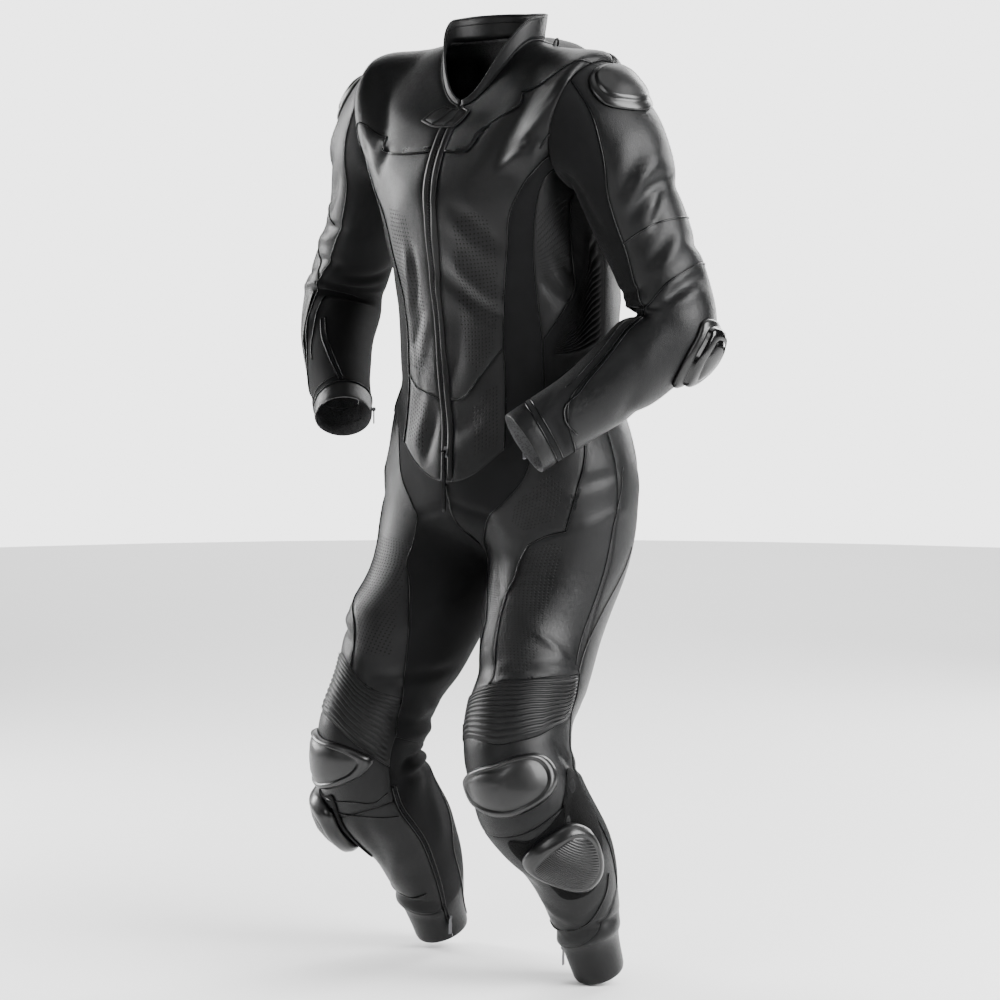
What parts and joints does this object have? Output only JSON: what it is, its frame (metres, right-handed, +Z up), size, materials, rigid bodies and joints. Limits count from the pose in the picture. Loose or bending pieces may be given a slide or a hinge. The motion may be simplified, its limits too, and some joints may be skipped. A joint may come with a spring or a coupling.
{
  "type": "motorcycle race suit",
  "caption": "One-piece leather motorcycle race suit, worn and hollow: panelled torso, back hump, bent sleeves and legs, accordion knees, hard plates, swinging zip pulls.",
  "frame": {"origin": "middle of the neck opening's base, where the wearer's neck stands in the suit", "axes": "+Z up, the suit faces -Y, the wearer's left is +X"},
  "size_m": [0.8124, 0.407, 1.4027],
  "materials": {
    "leather": "black satin leather, part perforated",
    "stretch": "matte black stretch fabric",
    "plate": "glossy black moulded plate",
    "hook_patch": "black hook-and-loop pile",
    "metal": "dark coated zip metal"
  },
  "bodies": {
    "suit": {"back": "leather", "back_hump": "leather", "belly_left": "leather", "belly_right": "leather", "chest_left": "leather", "chest_right": "leather", "collar": "leather", "collar_tab": "leather", "elbow_slider_left": "plate", "elbow_slider_right": "plate", "flank_left": "stretch", "flank_right": "stretch", "knee_cup_left": "plate", "knee_cup_right": "plate", "knee_patch_left": "hook_patch", "knee_patch_right": "hook_patch", "knee_slider_left": "plate", "knee_slider_right": "plate", "leg_ankle_cuff_left": "leather", "leg_ankle_cuff_right": "leather", "leg_calf_left": "leather", "leg_calf_right": "leather", "leg_inner_left": "stretch", "leg_inner_right": "stretch", "leg_knee_left": "leather", "leg_knee_ribs_left": "stretch", "leg_knee_ribs_right": "stretch", "leg_knee_right": "leather", "leg_seat_left": "leather", "leg_seat_right": "leather", "leg_shin_left": "leather", "leg_shin_right": "leather", "leg_thigh_front_left": "leather", "leg_thigh_front_right": "leather", "leg_thigh_side_left": "leather", "leg_thigh_side_right": "leather", "shoulder_cup_left": "plate", "shoulder_cup_right": "plate", "side_front_left": "leather", "side_front_right": "leather", "sleeve_cuff_left": "leather", "sleeve_cuff_right": "leather", "sleeve_forearm_left": "leather", "sleeve_forearm_right": "leather", "sleeve_inner_left": "stretch", "sleeve_inner_right": "stretch", "sleeve_upper_left": "leather", "sleeve_upper_right": "leather", "strip_left": "stretch", "strip_right": "stretch", "yoke_left": "leather", "yoke_right": "leather", "zip_band": "leather", "zip_slider": "metal"},
    "zip_pull": {"zip_pull": "leather"},
    "cuff_pull_left": {"cuff_pull_left": "metal"},
    "cuff_pull_right": {"cuff_pull_right": "metal"},
    "calf_pull_left": {"calf_pull_left": "metal"},
    "calf_pull_right": {"calf_pull_right": "metal"}
  },
  "joints": [
    {"name": "zip_pull_hinge", "type": "hinge", "parent": "suit", "child": "zip_pull", "pos_m": [0, -0.10218, -0.56393], "axis": [-1, 0, 0], "range_deg": [-1.5, 150]},
    {"name": "cuff_pull_left_hinge", "type": "hinge", "parent": "suit", "child": "cuff_pull_left", "pos_m": [0.14902, -0.09365, -0.5437], "axis": [0.6169, 0.7871, 0], "range_deg": [-4, 150]},
    {"name": "cuff_pull_right_hinge", "type": "hinge", "parent": "suit", "child": "cuff_pull_right", "pos_m": [-0.21351, -0.02598, -0.51818], "axis": [0.6418, -0.7668, 0], "range_deg": [-4, 150]},
    {"name": "calf_pull_left_hinge", "type": "hinge", "parent": "suit", "child": "calf_pull_left", "pos_m": [0.14751, -0.00605, -1.28861], "axis": [-0.3541, 0.9352, 0], "range_deg": [-4, 150]},
    {"name": "calf_pull_right_hinge", "type": "hinge", "parent": "suit", "child": "calf_pull_right", "pos_m": [-0.1024, 0.02059, -1.28415], "axis": [-0.2639, -0.9645, 0], "range_deg": [-4, 150]}
  ]
}
